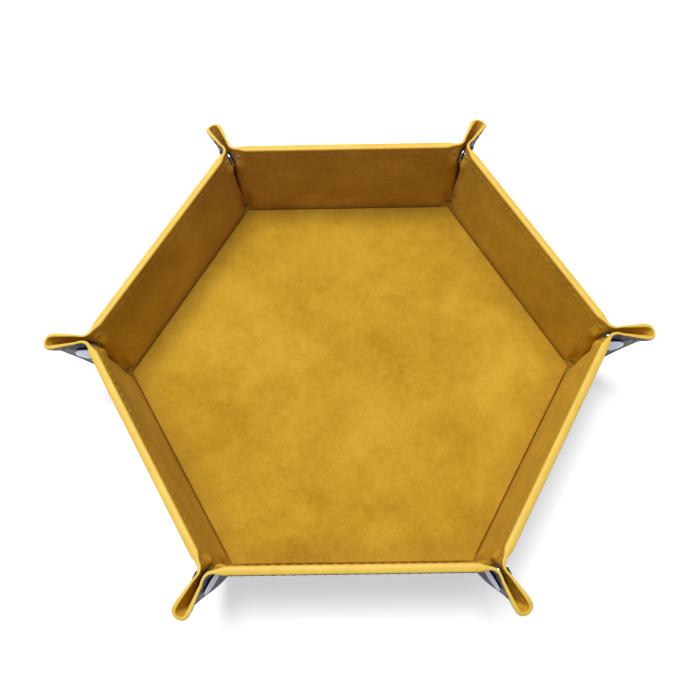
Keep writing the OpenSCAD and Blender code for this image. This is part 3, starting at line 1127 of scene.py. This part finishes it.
def stitch_tree():
    """Geometry nodes: one stitch, a short bowed thread, on every point of a row."""
    tree = bpy.data.node_groups.new("Tray Stitch Row", "GeometryNodeTree")
    tree.is_modifier = True
    tree.interface.new_socket(name="Geometry", in_out="INPUT", socket_type="NodeSocketGeometry")
    for label in ("Length", "Thread"):
        tree.interface.new_socket(name=label, in_out="INPUT", socket_type="NodeSocketFloat")
    tree.interface.new_socket(name="Material", in_out="INPUT", socket_type="NodeSocketMaterial")
    tree.interface.new_socket(name="Geometry", in_out="OUTPUT", socket_type="NodeSocketGeometry")
    source, sink = tree.nodes.new("NodeGroupInput"), tree.nodes.new("NodeGroupOutput")
    link = tree.links.new
    half = math_node(tree, "MULTIPLY", source.outputs["Length"], 0.5)
    sunk = math_node(tree, "MULTIPLY", source.outputs["Thread"], -0.5)
    raised = math_node(tree, "MULTIPLY", source.outputs["Thread"], 0.8)
    ends = []
    for sign, height in ((-1, sunk), (0, raised), (1, sunk)):
        place = tree.nodes.new("ShaderNodeCombineXYZ")
        link(math_node(tree, "MULTIPLY", half, sign), place.inputs[0])
        link(height, place.inputs[2])
        ends.append(place.outputs[0])
    bow = tree.nodes.new("GeometryNodeCurveQuadraticBezier")
    bow.inputs["Resolution"].default_value = 10
    for label, place in zip(("Start", "Middle", "End"), ends):
        link(place, bow.inputs[label])
    thread = tree.nodes.new("GeometryNodeCurvePrimitiveCircle")
    thread.inputs["Resolution"].default_value = 8
    link(math_node(tree, "MULTIPLY", source.outputs["Thread"], 0.5), thread.inputs["Radius"])
    tube = tree.nodes.new("GeometryNodeCurveToMesh")
    tube.inputs["Fill Caps"].default_value = True
    link(bow.outputs[0], tube.inputs["Curve"])
    link(thread.outputs[0], tube.inputs["Profile Curve"])
    turns = []
    for label in ("flip", "heading"):
        attribute = tree.nodes.new("GeometryNodeInputNamedAttribute")
        attribute.data_type = "FLOAT"
        attribute.inputs["Name"].default_value = label
        turns.append(attribute.outputs["Attribute"])
    angles = tree.nodes.new("ShaderNodeCombineXYZ")
    link(turns[0], angles.inputs[0])
    link(turns[1], angles.inputs[2])
    rotation = tree.nodes.new("FunctionNodeEulerToRotation")
    link(angles.outputs[0], rotation.inputs[0])
    copies = tree.nodes.new("GeometryNodeInstanceOnPoints")
    link(source.outputs["Geometry"], copies.inputs["Points"])
    link(tube.outputs[0], copies.inputs["Instance"])
    link(rotation.outputs[0], copies.inputs["Rotation"])
    real = tree.nodes.new("GeometryNodeRealizeInstances")
    link(copies.outputs[0], real.inputs[0])
    paint = tree.nodes.new("GeometryNodeSetMaterial")
    link(real.outputs[0], paint.inputs["Geometry"])
    link(source.outputs["Material"], paint.inputs["Material"])
    link(paint.outputs[0], sink.inputs[0])
    return tree


def stitch_places(stitches):
    """Places and headings of the row on half a wall and half an ear, in the sheet at one wall."""
    ts = np.linspace(-FOLD_HALF, RIM_END_T, 2000)
    line = np.array([rim_point(t)[0] - rim_point(t)[1] * stitches.inset for t in ts])
    line = line + (0, FOLD_HALF)
    run = np.concatenate([[0], np.cumsum(np.linalg.norm(np.diff(line, axis=0), axis=1))])
    count = round(run[-1] / stitches.pitch)
    at = (np.arange(count) + 0.5) / count * run[-1]

    def line_at(distance):
        return np.column_stack([np.interp(distance, run, line[:, i]) for i in (0, 1)])

    step = line_at(at + 0.1 * MM) - line_at(at - 0.1 * MM)
    return line_at(at), np.arctan2(step[:, 1], step[:, 0])


def stitch_piece(name, tree, places, headings, stand, k, stitches, mirrored=False):
    """A row of stitches on both faces of the sheet, stood up at wall k."""
    top = lining_top(places[:, 0], places[:, 1])
    points = np.concatenate([np.column_stack([places, top]), np.column_stack([places, 0 * top])])
    row = mesh_object(name + "_row", points, [], "Tray Thread")
    mark_points(row, "heading", np.tile(headings, 2))
    mark_points(row, "flip", np.repeat([0.0, math.pi], len(places)))
    modifier = row.modifiers.new("Stitches", "NODES")
    modifier.node_group = tree
    values = {"Length": stitches.length, "Thread": stitches.thread,
              "Material": bpy.data.materials["Tray Thread"]}
    for item in tree.interface.items_tree:
        if item.in_out == "INPUT" and item.name in values:
            modifier[item.identifier] = values[item.name]
    graph = bpy.context.evaluated_depsgraph_get()
    made = bpy.data.meshes.new_from_object(row.evaluated_get(graph), depsgraph=graph)
    row.modifiers.remove(modifier)
    bpy.data.objects.remove(row)
    flat = np.array([v.co for v in made.vertices])
    faces = [tuple(p.vertices) for p in made.polygons]
    if not faces:
        raise RuntimeError(f"{name}: the stitch row came out empty")
    piece, weight = finish_flat(name, flat, faces, stand, k, "Tray Thread", mirrored)
    piece.data.materials.append(bpy.data.materials["Tray Outer Thread"])
    piece.data.polygons.foreach_set(
        "material_index", [int(flat[face[0], 2] < LEATHER_T) for face in faces])
    return piece, weight


class TRAY_OT_stitches(bpy.types.Operator):
    """Sew the row of stitches below the rim"""
    bl_idname = "object.tray_stitches"
    bl_label = "Stitches"

    def execute(self, context):
        stitches = context.scene.tray_stitches
        tree = stitch_tree()
        places, headings = stitch_places(stitches)
        angle = np.arctan2(places[:, 1] - FOLD_HALF, places[:, 0])
        on_wall = places[:, 1] < BOARD_HALF
        on_tip = angle > SPLIT_ANGLE
        chosen = {"side": ~on_wall & ~on_tip, "tip": on_tip}
        both = np.concatenate([places[on_wall], places[on_wall] * (1, -1)])
        turn = np.concatenate([headings[on_wall], math.pi - headings[on_wall]])
        for k in CORNERS:
            piece, weight = stitch_piece(f"wall_{k}_stitches", tree, both, turn, stand_wall, k,
                                         stitches)
            settle(piece, (f"wall_{k}",), weight, "lining_leather")
            for side, wall, mirrored in ear_halves(k):
                for part, stand, bodies, _ in ear_parts(k, side, wall):
                    piece, weight = stitch_piece(f"ear_{k}_{side}_{part}_stitches", tree,
                                                 places[chosen[part]], headings[chosen[part]],
                                                 stand, wall, stitches, mirrored)
                    settle(piece, bodies, weight, "lining_leather")
        return {"FINISHED"}


# ---------------------------------------------------------------- snaps
# Profiles are (radius, height) in mm from the outside of the cap's axis inwards: height 0 is the
# outside face of the leather and positive is towards the inside.

CAP_PROFILE = ((0, -0.95), (1.6, -0.95), (3.2, -0.93), (4.2, -0.88), (4.8, -0.78), (5.15, -0.62),
               (5.3, -0.42), (5.27, -0.26), (5.05, -0.16), (4.7, -0.18), (4.3, -0.1), (4.1, 0.1),
               (0, 0.1))
SOCKET_PROFILE = ((0, 1.5), (3.7, 1.5), (3.95, 1.62), (4.1, 1.9), (4.1, 2.7), (4.02, 2.92),
                  (3.8, 3.06), (3.2, 3.1), (2.7, 3.05), (2.5, 2.95), (2.42, 2.8), (2.55, 2.4),
                  (2.55, 2.0), (2.3, 1.95), (0, 1.95))
STUD_PROFILE = ((0, 1.5), (3.4, 1.5), (3.6, 1.6), (3.6, 1.8), (3.45, 1.9), (2.3, 1.9), (1.9, 1.96),
                (1.75, 2.15), (1.75, 2.45), (1.95, 2.75), (2.0, 3.0), (1.86, 3.24), (1.5, 3.37),
                (0.8, 3.4), (0, 3.4))

# Metal edges sharper than this many degrees stay sharp
SNAP_CREASE = 38


def lathe(profile, segments, points, faces):
    """Adds a profile turned round the Z axis, closed at both ends, to points and faces."""
    start = len(points)
    inner = profile[1:-1]
    points.append((0, 0, profile[0][1] * MM))
    for radius, height in inner:
        for i in range(segments):
            a = 2 * math.pi * i / segments
            points.append((radius * MM * math.cos(a), radius * MM * math.sin(a), height * MM))
    points.append((0, 0, profile[-1][1] * MM))
    last = len(points) - 1
    for i in range(segments):
        j = (i + 1) % segments
        faces.append((start, start + 1 + j, start + 1 + i))
        for r in range(len(inner) - 1):
            a = start + 1 + r * segments
            b = a + segments
            faces.append((a + i, a + j, b + j, b + i))
        a = start + 1 + (len(inner) - 1) * segments
        faces.append((last, a + i, a + j))


class TRAY_OT_snaps(bpy.types.Operator):
    """Build the two halves of the press snap on each ear"""
    bl_idname = "object.tray_snaps"
    bl_label = "Snaps"

    def execute(self, context):
        segments = context.scene.tray_snaps.segments
        for k in CORNERS:
            for side, wall, mirrored in ear_halves(k):
                kind = "socket" if side == "left" else "stud"
                place = ear_matrix(wall, mirrored)
                points, faces = [], []
                for profile in (CAP_PROFILE, SOCKET_PROFILE if kind == "socket" else STUD_PROFILE):
                    lathe(profile, segments, points, faces)
                centre = (SNAP_CENTRE[0], SNAP_CENTRE[1], SNAP_CLOSER - FOLD_Z)
                world = placed(np.array(points) + centre, place)
                if is_inside_out(world, faces):
                    faces = [tuple(reversed(f)) for f in faces]
                piece = mesh_object(f"snap_{k}_{kind}_metal", world, faces, "Tray Snap Metal",
                                    crease=SNAP_CREASE)
                settle(piece, (f"ear_side_{k}_{side}",), None, "snap_metal", f"snap_{k}_{kind}")
        return {"FINISHED"}


# ---------------------------------------------------------------- stage

# Where the camera stands: degrees round the tray from the front, degrees up, and its roll
CAMERA_AZIMUTH = 1.05
CAMERA_ELEVATION = 67.2
CAMERA_ROLL = -1.89
CAMERA_TARGET = (0.204 * MM, 8.975 * MM, 3.4 * MM)
CAMERA_LENS = 40.31
STAGE_SIZE = 6.0
FLOOR_GAP = 0.05 * MM

# The soft light above the tray, its size and power, and the strength of the light all round
LIGHT_PLACE = (-0.17, 0.3, 1.2)
LIGHT_SIZE = 0.7
LIGHT_POWER = 15.2
SKY_STRENGTH = 0.2


def area_light(name, place, target, size, power):
    """A square area light at a place, facing a target."""
    data = bpy.data.lights.new(name, "AREA")
    data.shape = "SQUARE"
    data.size = size
    data.energy = power
    lamp = bpy.data.objects.new(name, data)
    lamp.location = place
    lamp.rotation_euler = (Vector(target) - Vector(place)).to_track_quat("-Z", "Y").to_euler()
    bpy.context.scene.collection.objects.link(lamp)


class TRAY_OT_stage(bpy.types.Operator):
    """Set up the pale floor, the soft light and the camera"""
    bl_idname = "object.tray_stage"
    bl_label = "Stage"

    def execute(self, context):
        scene = context.scene
        half = STAGE_SIZE / 2
        corners = [(-half, -half, 0), (half, -half, 0), (half, half, 0), (-half, half, 0)]
        floor = mesh_object("studio_floor", np.array(corners) - (0, 0, FLOOR_GAP), [(0, 1, 2, 3)],
                            "Studio Floor")

        strength = scene.tray_stage.light
        area_light("Overhead", LIGHT_PLACE, (0, 0, 0), LIGHT_SIZE, LIGHT_POWER * strength)
        world = bpy.data.worlds.new("Studio Light")
        world.use_nodes = True
        sky = world.node_tree.nodes["Background"]
        sky.inputs["Color"].default_value = (1, 1, 1, 1)
        seen = world.node_tree.nodes.new("ShaderNodeLightPath").outputs["Is Camera Ray"]
        level = math_node(world.node_tree, "MAXIMUM", seen, SKY_STRENGTH * strength)
        world.node_tree.links.new(level, sky.inputs["Strength"])
        scene.world = world
        scene.view_settings.view_transform = "Standard"

        data = bpy.data.cameras.new("Camera")
        data.lens = CAMERA_LENS
        data.clip_start = 0.01
        camera = bpy.data.objects.new("Camera", data)
        scene.collection.objects.link(camera)
        azimuth, up = math.radians(CAMERA_AZIMUTH), math.radians(CAMERA_ELEVATION)
        back = Vector((math.sin(azimuth) * math.cos(up), -math.cos(azimuth) * math.cos(up),
                       math.sin(up)))
        right = Vector((0, 0, 1)).cross(back).normalized()
        top = back.cross(right)
        turn = Matrix((right, top, back)).transposed() @ Matrix.Rotation(
            math.radians(CAMERA_ROLL), 3, "Z")
        place = Vector(CAMERA_TARGET) + back * scene.tray_stage.distance
        camera.matrix_world = Matrix.Translation(place) @ turn.to_4x4()
        scene.camera = camera
        return {"FINISHED"}


# ---------------------------------------------------------------- panel and registration

STEPS = (TRAY_OT_materials, TRAY_OT_boards, TRAY_OT_floor, TRAY_OT_folds, TRAY_OT_walls,
         TRAY_OT_ears, TRAY_OT_stitches, TRAY_OT_snaps, TRAY_OT_stage)
SETTINGS = (("tray_leather", TrayLeather), ("tray_stitches", TrayStitches),
            ("tray_snaps", TraySnaps), ("tray_stage", TrayStage))


class TRAY_PT_panel(bpy.types.Panel):
    """Settings and steps of the dice tray"""
    bl_idname = "TRAY_PT_panel"
    bl_label = "Dice Tray"
    bl_space_type = "VIEW_3D"
    bl_region_type = "UI"
    bl_category = "Dice Tray"

    def draw(self, context):
        for name, group in SETTINGS:
            box = self.layout.box()
            for field in group.__annotations__:
                box.prop(getattr(context.scene, name), field)
        for step in STEPS:
            self.layout.operator(step.bl_idname)


def register():
    """Register the settings, the steps and the panel."""
    for name, group in SETTINGS:
        bpy.utils.register_class(group)
        setattr(bpy.types.Scene, name, PointerProperty(type=group))
    for cls in (*STEPS, TRAY_PT_panel):
        bpy.utils.register_class(cls)


def unregister():
    """Remove the panel, the steps and the settings."""
    for cls in reversed((*STEPS, TRAY_PT_panel)):
        bpy.utils.unregister_class(cls)
    for name, group in reversed(SETTINGS):
        delattr(bpy.types.Scene, name)
        bpy.utils.unregister_class(group)


def main():
    """Run every step in order."""
    register()
    bpy.ops.object.tray_materials()
    bpy.ops.object.tray_boards()
    bpy.ops.object.tray_floor()
    bpy.ops.object.tray_folds()
    bpy.ops.object.tray_walls()
    bpy.ops.object.tray_ears()
    bpy.ops.object.tray_stitches()
    bpy.ops.object.tray_snaps()
    bpy.ops.object.tray_stage()


if __name__ == "__main__":
    main()
